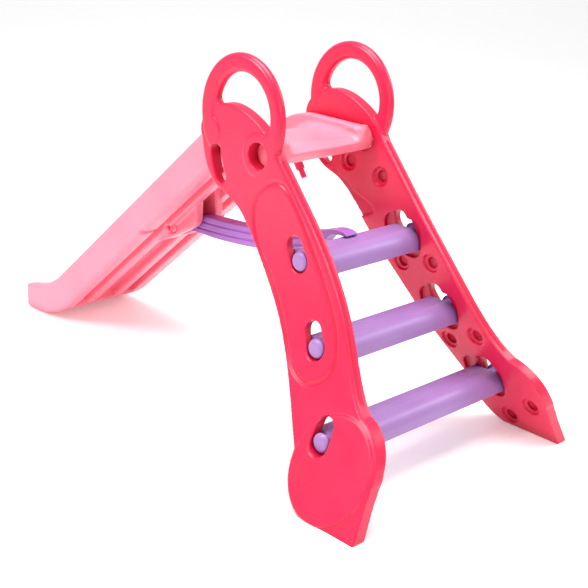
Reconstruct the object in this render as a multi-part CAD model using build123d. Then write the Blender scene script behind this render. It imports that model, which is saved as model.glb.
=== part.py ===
"""Folding toddler slide: two flared side panels, three treads, a one-piece chute and platform,
a hooked brace on a pin, and a stop peg.  Millimetres, +X towards the foot of the chute, +Z up."""
import math
import os

from build123d import *

os.makedirs("parts", exist_ok=True)

# Everything below is drawn with the handle ring's centre at x = 0, then moved by this much.
FRAME_SHIFT_X = -184.6

# Side panels.  The outer face is upright above FLARE_START_Z and bends outwards below it.
PANEL_HALF_WIDTH = 180.0
PANEL_THICKNESS = 30.0
FLARE_START_Z = 560.0
FLARE_RADIUS = 830.0
FLARE_ANGLE = 27.0
BAND_TOP_Z = 900.0
BAND_BOTTOM_Z = -40.0
EDGE_GROOVE = (11.0, 17.0)
EDGE_GROOVE_DEPTH = 4.0
OBLONG_GROOVE = (8.0, 4.0)
LADDER_EDGE = ((-124, 650), (-203, 560), (-278, 471), (-348, 377), (-406, 287), (-437, 245), (-470, 212),
               (-520, 176), (-549, 140), (-560, 104))
CHUTE_EDGE = ((-345, 102), (-306, 155), (-251, 230), (-178, 329), (-90, 431), (-24, 505), (22, 538), (68, 555), (100, 585),
              (116, 622), (123, 655))
HEAD_EDGE = ((123, 655), (128, 688), (112, 714), (84, 733), (48, 745), (14, 744), (-30, 731), (-80, 702),
             (-124, 650))

DIMPLES = ((-20, 585), (-123, 569), (-190, 378), (-280, 398), (-308, 206), (-392, 243), (-440, 32), (-512, 88))
DIMPLE_STEPS = ((22.0, 7.0), (13.0, 16.0))

HANDLE_Z = 723.0
HANDLE_HALF_SIZE = (129.5, 137.0)
HANDLE_PROUD = 2.5
HANDLE_THICKNESS = 25.0
HANDLE_EDGE_RADIUS = 12.0
HAND_HOLE = (-6.0, 728.0)
HAND_HOLE_HALF_SIZE = (87.0, 92.0)
HAND_HOLE_CORNER_RADIUS = 14.0

FOOT_DISC = (-450.0, 102.0)
FOOT_DISC_RADIUS = 108.0
RAISED_DISC_RADIUS = 102.0
RAISED_DISC_HEIGHT = 5.0

PIVOT = (-62.0, 650.0)
PIVOT_HOLE_RADIUS = 29.0
RUNNING_GAP = 0.08

# The guide lug on the chute follows an arc round the pivot, in a track on the panel's inner face.
GUIDE_RADIUS = 138.5
GUIDE_LUG_RADIUS = 15.5
GUIDE_START = -7.5
SLOT_END = -30.0
SLOT_HALF_WIDTH = 17.0
TRACK_END = -70.0
TRACK_DEPTH = 7.0

# Treads: centres from top to bottom, and sizes about that centre.
TREAD_CENTRES = {"step_top": (-203.0, 442.0), "step_middle": (-300.0, 284.0), "step_bottom": (-397.0, 126.0)}
TREAD_HALF_DEPTH = 41.0
TREAD_HALF_HEIGHT = 24.0
TREAD_NOSE_RADIUS = 32.0
TREAD_GRIP_GROOVES = 5
GRIP_GROOVE_PITCH = 8.5
GRIP_GROOVE_SIZE = (3.0, 2.4)
POCKET_DEPTH = 10.0
END_GAP = 0.3
BUTTON_OFFSET = (-5.0, 10.0)
BUTTON_RADIUS = 22.0
BUTTON_DOME_RADIUS = 8.5
NECK_RADIUS = 13.0
KEYHOLE_LOW_RADIUS = 24.0
KEYHOLE_HIGH_OFFSETS = {"step_top": (15.0, 40.0), "step_middle": (15.0, 42.0), "step_bottom": (-4.0, 42.0)}
KEYHOLE_HIGH_RADIUS = 22.0

# Chute and platform.
CHUTE_HALF_WIDTH = 145.0
TROUGH_HALF_WIDTH = 112.0
CHUTE_CORNER_RADIUS = 28.0
CHUTE_EDGE_RADIUS = 13.0
SLOPE_ANGLE = 41.0
RIM_Z = 683.0
SEAT_Z = 660.0
PLATFORM_UNDER_Z = 622.0
PLATFORM_FRONT_X = -94.0
BEND_X = 137.0
CHUTE_END_X = 940.0
TROUGH_DEPTH = 46.0
CHUTE_DEPTH = 82.0
VALLEY_DEPTH = 24.0
TROUGH_FLOOR_RADIUS = 18.0
LUG_END_Y = 156.0
VALLEYS = ((-98.0, -62.0), (-30.0, 30.0), (62.0, 98.0))

# Brace, its pin and the stop peg.
BRACE_PIN = (392.0, 354.0)
PIN_RADIUS = 8.0
PIN_HALF_LENGTH = 38.0
PIN_HEAD_RADIUS = 15.0
PIN_HEAD_HEIGHT = 7.5
BRACE_HALF_WIDTH = 18.0
BOSS_INNER = 19.0
BOSS_OUTER = 44.0
PEG_TOP = (13.0, 622.0)
PEG_TIP = (-27.0, 568.0)
PEG_RADIUS = 10.0
PEG_TIP_RADIUS = 6.5
PEG_SOCKET = 16.0

JOIN_OVERLAP = 3.0
FAR = 450.0


def rounded(corners):
    """Closed face in the x-z plane from (x, z, radius) corners."""
    edges = []
    joints = []
    count = len(corners)
    for i, (x, z, radius) in enumerate(corners):
        corner = Vector(x, z)
        before = (Vector(*corners[i - 1][:2]) - corner).normalized()
        after = (Vector(*corners[(i + 1) % count][:2]) - corner).normalized()
        half_angle = math.acos(max(-1.0, min(1.0, before.dot(after)))) / 2
        reach = radius / math.tan(half_angle)
        start = corner + before * reach
        end = corner + after * reach
        if radius > 0:
            inward = (before + after).normalized()
            middle = corner + inward * (radius / math.sin(half_angle) - radius)
            edges.append(ThreePointArc(start, middle, end))
        joints.append((start, end))
    for i in range(count):
        start = joints[i - 1][1]
        end = joints[i][0]
        if (end - start).length > 1e-6:
            edges.append(Line(start, end))
    return make_face(edges)


def disc(centre, radius):
    return Pos(*centre) * Circle(radius)


def across(face, low=-FAR, high=FAR):
    """Extrude a face drawn in x-z so that it fills y from low to high."""
    return Pos(0, high, 0) * extrude(Plane.XZ * face, amount=high - low)


def flare_line(inset):
    """Edges of the panel's outer face, seen along x, moved inwards by inset."""
    radius = FLARE_RADIUS + inset
    centre_y = PANEL_HALF_WIDTH + FLARE_RADIUS

    def on_arc(angle):
        turn = math.radians(angle)
        return (centre_y - radius * math.cos(turn), FLARE_START_Z - radius * math.sin(turn))

    top = (PANEL_HALF_WIDTH - inset, BAND_TOP_Z)
    bend = on_arc(FLARE_ANGLE)
    drop = bend[1] - BAND_BOTTOM_Z
    bottom = (bend[0] + drop * math.tan(math.radians(FLARE_ANGLE)), BAND_BOTTOM_Z)
    edges = [Line(top, on_arc(0)), ThreePointArc(on_arc(0), on_arc(FLARE_ANGLE / 2), bend), Line(bend, bottom)]
    return edges, top, bottom


def outer_y(z):
    """Half width over the outer faces at height z."""
    bend_z = FLARE_START_Z - FLARE_RADIUS * math.sin(math.radians(FLARE_ANGLE))
    if z >= FLARE_START_Z:
        return PANEL_HALF_WIDTH
    centre_y = PANEL_HALF_WIDTH + FLARE_RADIUS
    if z >= bend_z:
        return centre_y - math.sqrt(FLARE_RADIUS ** 2 - (FLARE_START_Z - z) ** 2)
    bend_y = centre_y - FLARE_RADIUS * math.cos(math.radians(FLARE_ANGLE))
    return bend_y + (bend_z - z) * math.tan(math.radians(FLARE_ANGLE))


def band(outer, inner):
    """The curved layer between two depths below the outer face of the +y panel."""
    outer_edges, outer_top, outer_bottom = flare_line(outer)
    inner_edges, inner_top, inner_bottom = flare_line(inner)
    closing = [Line(outer_top, inner_top), Line(outer_bottom, inner_bottom)]
    return Pos(-700, 0, 0) * extrude(Plane.YZ * make_face(outer_edges + inner_edges + closing), amount=1000)


def between_panels(inset):
    """Everything between the two panels, up to a depth below their outer faces."""
    edges, top, bottom = flare_line(inset)
    closing = [Line(top, (0, top[1])), Line((0, top[1]), (0, bottom[1])), Line((0, bottom[1]), bottom)]
    half = Pos(-700, 0, 0) * extrude(Plane.YZ * make_face(edges + closing), amount=1000)
    return half + mirror(half, about=Plane.XZ)


def arc_slot(radius, half_width, start, end):
    """Round-ended slot that follows an arc round the pivot."""
    def point(r, angle):
        turn = math.radians(angle)
        return (PIVOT[0] + r * math.cos(turn), PIVOT[1] + r * math.sin(turn))

    middle = (start + end) / 2
    outside = radius + half_width
    inside = radius - half_width
    strip = make_face([
        ThreePointArc(point(outside, start), point(outside, middle), point(outside, end)),
        Line(point(outside, end), point(inside, end)),
        ThreePointArc(point(inside, end), point(inside, middle), point(inside, start)),
        Line(point(inside, start), point(outside, start)),
    ])
    return strip + disc(point(radius, start), half_width) + disc(point(radius, end), half_width)


def panel_outline():
    """Rail and rounded head, then the foot disc and the toe."""
    rail = make_face([
        Spline(*LADDER_EDGE),
        Line(LADDER_EDGE[-1], FOOT_DISC),
        Line(FOOT_DISC, CHUTE_EDGE[0]),
        Spline(*CHUTE_EDGE),
        Spline(*HEAD_EDGE),
    ])
    toe = rounded([(-450, -6, 0), (-572, -6, 10), (-562, 58, 30), (-558, 112, 0), (-450, 112, 0)])
    return rail + disc(FOOT_DISC, FOOT_DISC_RADIUS) + toe


def guide_recess():
    """Shallow recess on the inner face: the guide lug's arc and the open area that it runs out into."""
    area = make_face([
        Spline((60, 604), (36, 583), (10, 547), (-31, 524), (-70, 506), (-96, 496), (-105, 484), (-98, 473)),
        Line((-98, 473), (-40, 448)),
        Line((-40, 448), (120, 520)),
        Line((120, 520), (60, 604)),
    ])
    return area + arc_slot(GUIDE_RADIUS, SLOT_HALF_WIDTH, GUIDE_START, TRACK_END)


def keyhole(name):
    x, z = TREAD_CENTRES[name]
    low = disc((x + BUTTON_OFFSET[0], z + BUTTON_OFFSET[1]), KEYHOLE_LOW_RADIUS)
    shift_x, shift_z = KEYHOLE_HIGH_OFFSETS[name]
    high = disc((x + shift_x, z + shift_z), KEYHOLE_HIGH_RADIUS)
    return make_hull((low + high).edges())


def build_handle():
    """Ring handle, standing a little proud of the panel in a horseshoe that ends round the two openings."""
    hole = Pos(*HAND_HOLE) * Ellipse(*HAND_HOLE_HALF_SIZE) - Pos(0, -JOIN_OVERLAP) * panel_outline()
    hole = fillet(hole.vertices(), HAND_HOLE_CORNER_RADIUS)
    outer_y_max = PANEL_HALF_WIDTH + HANDLE_PROUD
    ring = across(Pos(0, HANDLE_Z) * Ellipse(*HANDLE_HALF_SIZE), outer_y_max - HANDLE_THICKNESS, outer_y_max)
    ring = fillet(ring.edges(), HANDLE_EDGE_RADIUS)
    ring -= across(hole)
    rim = [edge for edge in ring.edges() if hole_rim(edge)]
    ring = fillet(rim, HANDLE_EDGE_RADIUS - 2)
    plate = Pos(0, 540) * Rectangle(400, 250) + Pos(0, HANDLE_Z) * Ellipse(88, 96)
    plate -= disc(PIVOT, 47) + disc((98, 676), 34)
    return ring - across(plate, PANEL_HALF_WIDTH - 0.4, outer_y_max + 1)


def hole_rim(edge):
    """True for the edges where the hand hole meets the ring's two flat faces."""
    low = PANEL_HALF_WIDTH + HANDLE_PROUD - HANDLE_THICKNESS
    span = edge.bounding_box()
    flat = span.size.Y < 0.01 and min(abs(span.min.Y - low), abs(span.max.Y - low - HANDLE_THICKNESS)) < 0.01
    centre = Vector(HAND_HOLE[0], span.min.Y, HAND_HOLE[1])
    return flat and (edge @ 0.5 - centre).length < HAND_HOLE_HALF_SIZE[1] + 3


def build_panel():
    """The +y side panel."""
    panel = across(panel_outline()) & band(0, PANEL_THICKNESS)
    for edge in (LADDER_EDGE, CHUTE_EDGE):
        groove = trace(Spline(*edge), 2 * EDGE_GROOVE_DEPTH) - disc(FOOT_DISC, FOOT_DISC_RADIUS + 12)
        panel -= across(groove) & band(*EDGE_GROOVE)
    panel += build_handle()
    panel += across(disc(FOOT_DISC, RAISED_DISC_RADIUS)) & band(-RAISED_DISC_HEIGHT, 1)

    oblong = Spline((-106, 600), (-58, 540), (-70, 474), (-129, 403), (-207, 306), (-262, 240), (-318, 226),
                    (-362, 262), (-352, 330), (-290, 424), (-190, 556), periodic=True)
    panel -= across(trace(oblong, OBLONG_GROOVE[0])) & band(-1, OBLONG_GROOVE[1])

    panel -= across(disc(PIVOT, PIVOT_HOLE_RADIUS))
    panel -= across(arc_slot(GUIDE_RADIUS, SLOT_HALF_WIDTH, GUIDE_START, SLOT_END))
    panel -= across(guide_recess()) & band(PANEL_THICKNESS - TRACK_DEPTH, PANEL_THICKNESS + 1)

    for name, (x, z) in TREAD_CENTRES.items():
        pocket = rounded([(x - 46, z - 46, 26), (x + 58, z - 40, 26), (x + 62, z + 54, 26), (x - 46, z + 44, 26)])
        panel -= across(pocket) & band(PANEL_THICKNESS - POCKET_DEPTH, PANEL_THICKNESS + 1)
        panel -= across(keyhole(name))

    for spot in DIMPLES:
        for radius, depth in DIMPLE_STEPS:
            panel -= across(disc(spot, radius)) & band(PANEL_THICKNESS - depth, PANEL_THICKNESS + 1)
    floor = Pos(0, 0, -100) * Box(2000, 2000, 200)
    return panel - floor


def build_tread(centre):
    """D-shaped tread with fine grooves along its top and a lug at each end."""
    x, z = centre
    back = x + TREAD_HALF_DEPTH
    front = x - TREAD_HALF_DEPTH
    top = z + TREAD_HALF_HEIGHT
    low = z - TREAD_HALF_HEIGHT
    section = rounded([(front, low, 3), (back, low, 6), (back, top, 9), (front, top, TREAD_NOSE_RADIUS)])
    for i in range(TREAD_GRIP_GROOVES):
        groove_x = back - 13 - i * GRIP_GROOVE_PITCH
        section -= Pos(groove_x, top) * Rectangle(*GRIP_GROOVE_SIZE)
    tread = across(section) & between_panels(PANEL_THICKNESS - POCKET_DEPTH + END_GAP)

    button = (x + BUTTON_OFFSET[0], z + BUTTON_OFFSET[1])
    face_y = outer_y(button[1])
    neck = across(disc(button, NECK_RADIUS), face_y - 45, face_y)
    head = across(disc(button, BUTTON_RADIUS), face_y - 8, face_y + 2)
    head = fillet(head.edges().sort_by(Axis.Y)[-1], BUTTON_DOME_RADIUS)
    lug = neck + head
    return tread + lug + mirror(lug, about=Plane.XZ)


def slope_z(x, depth):
    """Height of the line that runs parallel to the slope, depth below the rim."""
    return RIM_Z - depth / math.cos(math.radians(SLOPE_ANGLE)) - (x - BEND_X) * math.tan(math.radians(SLOPE_ANGLE))


def slope_x(z, depth):
    """The x at which that line reaches height z."""
    drop = RIM_Z - depth / math.cos(math.radians(SLOPE_ANGLE)) - z
    return BEND_X + drop / math.tan(math.radians(SLOPE_ANGLE))


def chute_side():
    """Side view of the chute and platform."""
    run_out_x = 807.0
    return rounded([
        (PLATFORM_FRONT_X, RIM_Z, 16),
        (BEND_X, RIM_Z, 160),
        (run_out_x, slope_z(run_out_x, 0), 260),
        (CHUTE_END_X, 64, 12),
        (CHUTE_END_X - 8, 0, 22),
        (slope_x(0, CHUTE_DEPTH), 0, 240),
        (slope_x(PLATFORM_UNDER_Z, CHUTE_DEPTH), PLATFORM_UNDER_Z, 60),
        (PLATFORM_FRONT_X + 20, PLATFORM_UNDER_Z, 12),
        (PLATFORM_FRONT_X, PLATFORM_UNDER_Z + 26, 14),
    ])


def trough():
    """The hollow above the seat and the sliding surface."""
    run_out_x = 812.0
    profile = rounded([
        (PLATFORM_FRONT_X - 60, SEAT_Z - 40, 0),
        (PLATFORM_FRONT_X + 22, SEAT_Z, 40),
        (slope_x(SEAT_Z, TROUGH_DEPTH), SEAT_Z, 140),
        (run_out_x, slope_z(run_out_x, TROUGH_DEPTH), 300),
        (CHUTE_END_X + 60, 20, 0),
        (CHUTE_END_X + 60, 900, 0),
        (PLATFORM_FRONT_X - 60, 900, 0),
    ])
    hollow = across(profile, -TROUGH_HALF_WIDTH, TROUGH_HALF_WIDTH)
    floor_edges = [edge for edge in hollow.edges() if abs(edge.center().Y) > TROUGH_HALF_WIDTH - 1
                   and edge.center().Z < SEAT_Z + 1 and edge.center().X < CHUTE_END_X]
    return fillet(floor_edges, TROUGH_FLOOR_RADIUS)


def build_chute():
    """Chute, run-out and platform in one piece, with its pivot and guide lugs."""
    length = CHUTE_END_X - PLATFORM_FRONT_X
    plan = RectangleRounded(length, 2 * CHUTE_HALF_WIDTH, CHUTE_CORNER_RADIUS)
    chute = across(chute_side(), -CHUTE_HALF_WIDTH, CHUTE_HALF_WIDTH)
    sides = chute.faces().sort_by(Axis.Y)
    chute = fillet(sides[0].edges() + sides[-1].edges(), CHUTE_EDGE_RADIUS)
    chute &= extrude(Pos((CHUTE_END_X + PLATFORM_FRONT_X) / 2, 0) * plan, amount=1000)
    chute -= trough()

    valley_top = CHUTE_DEPTH - VALLEY_DEPTH
    valley = rounded([
        (slope_x(600, valley_top + 60), 600, 0),
        (slope_x(600, valley_top), 600, 12),
        (slope_x(60, valley_top), 60, 20),
        (slope_x(0, valley_top + 60), 0, 0),
    ])
    for low, high in VALLEYS:
        chute -= across(valley, low, high)

    boss = rounded([
        (300, slope_z(300, valley_top - 4), 0),
        (300, 386, 12),
        (318, 368, 16),
        (396, 324, 30),
        (450, 300, 0),
        (500, slope_z(500, valley_top - 4), 0),
    ])
    cheek = across(boss, BOSS_INNER, BOSS_OUTER)
    chute += cheek + mirror(cheek, about=Plane.XZ)
    back = boss - disc(BRACE_PIN, 24) - Pos(BRACE_PIN[0] - 100, BRACE_PIN[1]) * Rectangle(220, 400)
    chute += across(back, -BOSS_INNER, BOSS_INNER)
    chute -= across(disc(BRACE_PIN, PIN_RADIUS + 0.05))
    recess_end = PIN_HALF_LENGTH + PIN_HEAD_HEIGHT + 2
    recess = across(disc(BRACE_PIN, PIN_HEAD_RADIUS + 1), PIN_HALF_LENGTH, recess_end)
    chute -= recess + mirror(recess, about=Plane.XZ)

    lug = across(disc(PIVOT, PIVOT_HOLE_RADIUS - RUNNING_GAP), 108, LUG_END_Y)
    turn = math.radians(GUIDE_START)
    guide = (PIVOT[0] + GUIDE_RADIUS * math.cos(turn), PIVOT[1] + GUIDE_RADIUS * math.sin(turn))
    lug += across(disc(guide, GUIDE_LUG_RADIUS), 130, LUG_END_Y)
    chute += lug + mirror(lug, about=Plane.XZ)
    return chute - peg_shape(PEG_RADIUS + 0.05)


def peg_shape(radius):
    """The peg's upper cylinder, which is also the shape of its socket."""
    lean = math.degrees(math.atan2(PEG_TOP[0] - PEG_TIP[0], PEG_TOP[1] - PEG_TIP[1]))
    step = 0.68
    axis = Pos(PEG_TOP[0], 0, PEG_TOP[1]) * Rot(0, lean, 0)
    length = step * math.dist(PEG_TOP, PEG_TIP)
    return axis * Pos(0, 0, (PEG_SOCKET - length) / 2) * Cylinder(radius, length + PEG_SOCKET)


def build_peg():
    lean = math.degrees(math.atan2(PEG_TOP[0] - PEG_TIP[0], PEG_TOP[1] - PEG_TIP[1]))
    axis = Pos(PEG_TOP[0], 0, PEG_TOP[1]) * Rot(0, lean, 0)
    length = math.dist(PEG_TOP, PEG_TIP)
    tip = axis * Pos(0, 0, -length * 0.75) * Cylinder(PEG_TIP_RADIUS, length * 0.5)
    return peg_shape(PEG_RADIUS) + tip


def build_brace():
    """Curved bar with an eye for the pin and a hook that sits over the top tread."""
    x, z = BRACE_PIN
    eye = 20.0
    under = [(x, z - eye), (347, 349), (276, 352), (200, 357), (127, 365), (60, 377), (0, 390), (-60, 406),
             (-100, 420)]
    hook = [(-100, 420), (-110, 436), (-121, 450), (-135, 461), (-150, 466.5), (-166, 468.5)]
    tip = [(-181, 468.5), (-185, 471), (-181, 474.5), (-166, 477)]
    over = [(-166, 477), (-143, 477), (-109, 466), (-50, 449), (10, 434), (80, 421), (147, 411), (240, 403),
            (326, 394), (x, z + eye)]
    side = make_face([
        Spline(*under),
        Spline(*hook),
        Line(hook[-1], tip[0]),
        Spline(*tip),
        Spline(*over),
        ThreePointArc((x, z + eye), (x + eye, z), (x, z - eye)),
    ])
    brace = across(side, -BRACE_HALF_WIDTH, BRACE_HALF_WIDTH)
    for lift in (-9, 9):
        line = Spline((330, 374 + lift), (240, 379 + lift), (147, 388 + lift), (60, 400 + lift), (-60, 430 + lift))
        channel = across(trace(line, 5), BRACE_HALF_WIDTH - 2.5, BRACE_HALF_WIDTH + 1)
        brace -= channel + mirror(channel, about=Plane.XZ)
    return brace - across(disc(BRACE_PIN, PIN_RADIUS + RUNNING_GAP))


def build_pin():
    """Pin with a domed head at each end."""
    pin = across(disc(BRACE_PIN, PIN_RADIUS), -PIN_HALF_LENGTH - 1, PIN_HALF_LENGTH + 1)
    head = across(disc(BRACE_PIN, PIN_HEAD_RADIUS), PIN_HALF_LENGTH + 0.2, PIN_HALF_LENGTH + PIN_HEAD_HEIGHT)
    head = fillet(head.edges().sort_by(Axis.Y)[-1], PIN_HEAD_HEIGHT - 1.5)
    return pin + head + mirror(head, about=Plane.XZ)


def save(name, shape):
    export_step(Pos(FRAME_SHIFT_X, 0, 0) * shape, f"parts/{name}.step")


left_panel = build_panel()
save("left_side_panel", left_panel)
save("right_side_panel", mirror(left_panel, about=Plane.XZ))
for tread_name, tread_centre in TREAD_CENTRES.items():
    save(tread_name, build_tread(tread_centre))
save("chute", build_chute())
save("brace", build_brace())
save("brace_pin", build_pin())
save("platform_peg", build_peg())
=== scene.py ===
"""Looks of the folding toddler slide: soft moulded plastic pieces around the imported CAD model."""
import math

import bpy
from mathutils import Matrix, Vector

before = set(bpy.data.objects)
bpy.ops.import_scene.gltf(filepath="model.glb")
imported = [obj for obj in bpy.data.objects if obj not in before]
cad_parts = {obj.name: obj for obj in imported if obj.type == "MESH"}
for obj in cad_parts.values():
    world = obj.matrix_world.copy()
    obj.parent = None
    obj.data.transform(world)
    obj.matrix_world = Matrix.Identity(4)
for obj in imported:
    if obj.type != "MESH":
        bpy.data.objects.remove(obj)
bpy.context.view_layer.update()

# Camera: where it stands, where it looks and how it is rolled.
CAMERA_PLACE = Vector((-2.1186, 1.921, 1.274))
CAMERA_YAW = math.radians(-44.98)
CAMERA_PITCH = math.radians(20.07)
CAMERA_ROLL = math.radians(2.78)
CAMERA_LENS = 74.9

PANEL_RED = (0.70, 0.009, 0.066)
# Each darker second colour is both the tone the plastic drifts to at random and the painted shade laid into
# its recesses and corners.
PANEL_DRIFT_AND_SHADE = (0.46, 0.001, 0.018)
CHUTE_PINK = (0.96, 0.235, 0.325)
CHUTE_DRIFT_AND_SHADE = (0.90, 0.085, 0.15)
TREAD_LILAC = (0.35, 0.19, 0.46)
TREAD_DRIFT_AND_SHADE = (0.17, 0.06, 0.27)
BRACE_PURPLE = (0.35, 0.135, 0.50)
PEG_PINK = (0.86, 0.06, 0.20)
FLOOR_WHITE = (0.93, 0.93, 0.93, 1.0)
FLOOR_GLOW = 0.20


# The plastic: how far its colour drifts, how far and how dark the painted shade in its recesses goes and how
# fine its grain is.
DRIFT_SCALE = 7.0
DRIFT_AMOUNT = 0.22
PAINTED_SHADE_REACH = 0.035
PAINTED_SHADE_AMOUNT = 0.75
HAZE_SCALE = 22.0
RIPPLE_SCALE = 16.0
RIPPLE_HEIGHT = 0.004
GRAIN_SCALE = 900.0
GRAIN_HEIGHT = 0.0006
BUMP_STRENGTH = 0.10
SUBSURFACE_RADIUS = (0.012, 0.004, 0.005)


def add_node(tree, kind, **values):
    """Add a shader node and set its inputs by name, with underscores for spaces."""
    node = tree.nodes.new(kind)
    for name, value in values.items():
        node.inputs[name.replace("_", " ")].default_value = value
    return node


def add_noise(tree, place, scale, detail, roughness):
    noise = add_node(tree, "ShaderNodeTexNoise", Scale=scale, Detail=detail, Roughness=roughness)
    tree.links.new(place.outputs["Object"], noise.inputs["Vector"])
    return noise.outputs["Fac"]


def add_range(tree, source, low, high, to_low, to_high):
    stretch = add_node(tree, "ShaderNodeMapRange", From_Min=low, From_Max=high, To_Min=to_low, To_Max=to_high)
    tree.links.new(source, stretch.inputs["Value"])
    return stretch.outputs["Result"]


def add_colour(tree, place, colour, drift_and_shade):
    """The colour, which drifts slowly at random towards the darker one and turns to it in the recesses, where
    ambient occlusion paints shade.
    """
    drift = add_range(tree, add_noise(tree, place, DRIFT_SCALE, 3.0, 0.55), 0.3, 0.7, 0.0, DRIFT_AMOUNT)
    # Painted shade: ambient occlusion darkens the colour towards the darker one in recesses and corners.
    corners = add_node(tree, "ShaderNodeAmbientOcclusion", Distance=PAINTED_SHADE_REACH)
    corners.samples = 8
    painted_shade = add_range(tree, corners.outputs["AO"], 0.35, 0.95, PAINTED_SHADE_AMOUNT, 0.0)
    amount = tree.nodes.new("ShaderNodeMath")
    amount.operation = "MAXIMUM"
    tree.links.new(drift, amount.inputs[0])
    tree.links.new(painted_shade, amount.inputs[1])
    mix = tree.nodes.new("ShaderNodeMix")
    mix.data_type = "RGBA"
    mix.inputs[6].default_value = (*colour, 1.0)
    mix.inputs[7].default_value = (*drift_and_shade, 1.0)
    tree.links.new(amount.outputs["Value"], mix.inputs[0])
    return mix.outputs[2]


def add_relief(tree, place):
    """Soft ripples with a fine leathery grain on top of them."""
    fine = add_noise(tree, place, GRAIN_SCALE, 2.0, 0.5)
    soft = add_noise(tree, place, RIPPLE_SCALE, 2.0, 0.4)
    ripple = add_node(tree, "ShaderNodeBump", Strength=BUMP_STRENGTH, Distance=RIPPLE_HEIGHT)
    tree.links.new(soft, ripple.inputs["Height"])
    grain = add_node(tree, "ShaderNodeBump", Strength=BUMP_STRENGTH, Distance=GRAIN_HEIGHT)
    tree.links.new(fine, grain.inputs["Height"])
    tree.links.new(ripple.outputs["Normal"], grain.inputs["Normal"])
    return grain.outputs["Normal"]


def moulded_plastic(name, colour, drift_and_shade, roughness, subsurface=0.10):
    """Blow-moulded polyethylene: slow colour drift, painted shade in the recesses, hazy gloss and fine grain.
    """
    material = bpy.data.materials.new(name)
    material.use_nodes = True
    tree = material.node_tree
    shader = tree.nodes["Principled BSDF"]
    shader.inputs["Subsurface Weight"].default_value = subsurface
    shader.inputs["Subsurface Radius"].default_value = SUBSURFACE_RADIUS
    shader.inputs["Subsurface Scale"].default_value = 0.6
    shader.inputs["Specular IOR Level"].default_value = 0.42
    shader.inputs["Coat Weight"].default_value = 0.10
    shader.inputs["Coat Roughness"].default_value = 0.25

    place = tree.nodes.new("ShaderNodeTexCoord")
    tree.links.new(add_colour(tree, place, colour, drift_and_shade), shader.inputs["Base Color"])
    haze = add_noise(tree, place, HAZE_SCALE, 5.0, 0.6)
    gloss = add_range(tree, haze, 0.3, 0.7, roughness - 0.05, roughness + 0.07)
    tree.links.new(gloss, shader.inputs["Roughness"])
    tree.links.new(add_relief(tree, place), shader.inputs["Normal"])
    return material


panel_plastic = moulded_plastic("panel_plastic", PANEL_RED, PANEL_DRIFT_AND_SHADE, 0.34)
chute_plastic = moulded_plastic("chute_plastic", CHUTE_PINK, CHUTE_DRIFT_AND_SHADE, 0.36, subsurface=0.25)
tread_plastic = moulded_plastic("tread_plastic", TREAD_LILAC, TREAD_DRIFT_AND_SHADE, 0.38)
brace_plastic = moulded_plastic("brace_plastic", BRACE_PURPLE, TREAD_DRIFT_AND_SHADE, 0.38)
peg_plastic = moulded_plastic("peg_plastic", PEG_PINK, PANEL_DRIFT_AND_SHADE, 0.36)

LOOKS = {
    "left_side_panel": panel_plastic,
    "right_side_panel": panel_plastic,
    "chute": chute_plastic,
    "platform_peg": peg_plastic,
    "brace_pin": chute_plastic,
    "brace": brace_plastic,
    "step_top": tread_plastic,
    "step_middle": tread_plastic,
    "step_bottom": tread_plastic,
}
for node, material in LOOKS.items():
    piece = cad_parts[node]
    piece.data.materials.clear()
    piece.data.materials.append(material)


# Voxel size in metres and number of smoothing passes that round off each piece's edges.
SOFTENING = {
    "left_side_panel": (0.0017, 12),
    "right_side_panel": (0.0017, 12),
    "chute": (0.0024, 18),
    "brace": (0.0012, 6),
    "step_top": (0.0010, 4),
    "step_middle": (0.0010, 4),
    "step_bottom": (0.0010, 4),
}
for node, (voxel, passes) in SOFTENING.items():
    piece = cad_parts[node]
    remesh = piece.modifiers.new("even_mesh", "REMESH")
    remesh.mode = "VOXEL"
    remesh.voxel_size = voxel
    remesh.use_smooth_shade = True
    smooth = piece.modifiers.new("soft_edges", "SMOOTH")
    smooth.factor = 0.5
    smooth.iterations = passes

BEVEL_WIDTH = 0.0012
for node in ("platform_peg", "brace_pin"):
    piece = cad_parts[node]
    bevel = piece.modifiers.new("soft_edges", "BEVEL")
    bevel.width = BEVEL_WIDTH
    bevel.segments = 3


FLOOR_REACH = 9.0
FLOOR_STRIPS = 40
FLOOR_CURVE_START = 4.0
FLOOR_CURVE = 0.12


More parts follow.
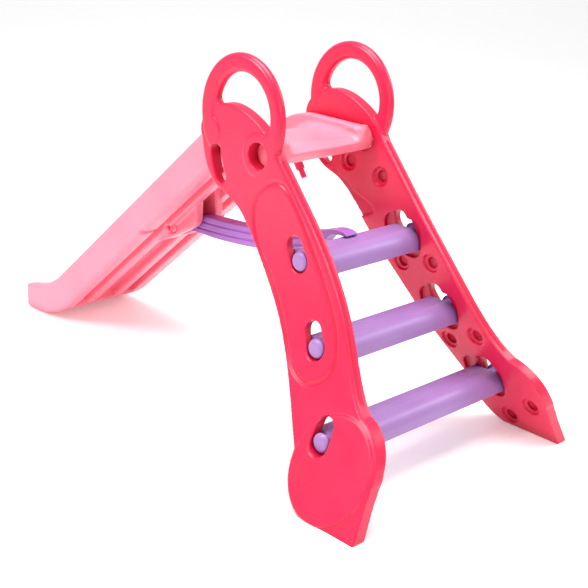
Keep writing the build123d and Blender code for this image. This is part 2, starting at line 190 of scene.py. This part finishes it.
def make_floor():
    """A white floor that curves up into a backdrop on the far side of the camera."""
    vertices = []
    for i in range(FLOOR_STRIPS + 1):
        along = -FLOOR_REACH + i * (2 * FLOOR_REACH) / FLOOR_STRIPS
        rise = max(0.0, along - FLOOR_CURVE_START)
        for side in (-FLOOR_REACH, FLOOR_REACH):
            vertices.append((along, side, FLOOR_CURVE * rise * rise))
    faces = [(2 * i, 2 * i + 1, 2 * i + 3, 2 * i + 2) for i in range(FLOOR_STRIPS)]
    mesh = bpy.data.meshes.new("floor")
    mesh.from_pydata(vertices, [], faces)
    mesh.shade_smooth()
    floor = bpy.data.objects.new("floor", mesh)
    floor.rotation_euler = (0, 0, CAMERA_YAW)
    bpy.context.scene.collection.objects.link(floor)

    material = bpy.data.materials.new("studio_floor")
    material.use_nodes = True
    shader = material.node_tree.nodes["Principled BSDF"]
    shader.inputs["Base Color"].default_value = FLOOR_WHITE
    shader.inputs["Roughness"].default_value = 0.32
    shader.inputs["Specular IOR Level"].default_value = 0.35
    shader.inputs["Emission Color"].default_value = (1.0, 1.0, 1.0, 1.0)
    shader.inputs["Emission Strength"].default_value = FLOOR_GLOW
    mesh.materials.append(material)
    return floor


make_floor()


def add_area_light(name, place, target, size, power):
    """A round soft white light at place that shines towards target."""
    data = bpy.data.lights.new(name, "AREA")
    data.shape = "DISK"
    data.size = size
    data.energy = power
    light = bpy.data.objects.new(name, data)
    light.location = place
    light.rotation_mode = "QUATERNION"
    light.rotation_quaternion = (Vector(target) - Vector(place)).to_track_quat("-Z", "Y")
    bpy.context.scene.collection.objects.link(light)


add_area_light("key", (1.0, 3.0, 3.2), (0, 0, 0.3), 1.6, 118)
add_area_light("fill", (-3.2, 0.8, 1.8), (0, 0, 0.4), 1.6, 18)
add_area_light("top", (-0.2, 0.0, 3.4), (0, 0, 0), 2.2, 105)
add_area_light("rim", (-1.6, -2.8, 2.2), (0, 0, 0.4), 1.4, 30)

WORLD_STRENGTH = 0.62
world = bpy.data.worlds.new("studio")
world.use_nodes = True
world.node_tree.nodes["Background"].inputs["Color"].default_value = (1.0, 1.0, 1.0, 1.0)
world.node_tree.nodes["Background"].inputs["Strength"].default_value = WORLD_STRENGTH
bpy.context.scene.world = world


def make_camera():
    """The camera's matrix comes from where it stands, its yaw, pitch and roll."""
    forward = Vector((math.cos(CAMERA_YAW) * math.cos(CAMERA_PITCH),
                      math.sin(CAMERA_YAW) * math.cos(CAMERA_PITCH),
                      -math.sin(CAMERA_PITCH)))
    level_right = forward.cross(Vector((0, 0, 1))).normalized()
    level_up = level_right.cross(forward)
    right = level_right * math.cos(CAMERA_ROLL) + level_up * math.sin(CAMERA_ROLL)
    up = level_up * math.cos(CAMERA_ROLL) - level_right * math.sin(CAMERA_ROLL)
    data = bpy.data.cameras.new("camera")
    data.lens = CAMERA_LENS
    data.sensor_width = 36.0
    camera = bpy.data.objects.new("camera", data)
    turn = Matrix((right, up, -forward)).transposed()
    camera.matrix_world = Matrix.Translation(CAMERA_PLACE) @ turn.to_4x4()
    bpy.context.scene.collection.objects.link(camera)
    bpy.context.scene.camera = camera


make_camera()
bpy.context.scene.view_settings.view_transform = "Standard"
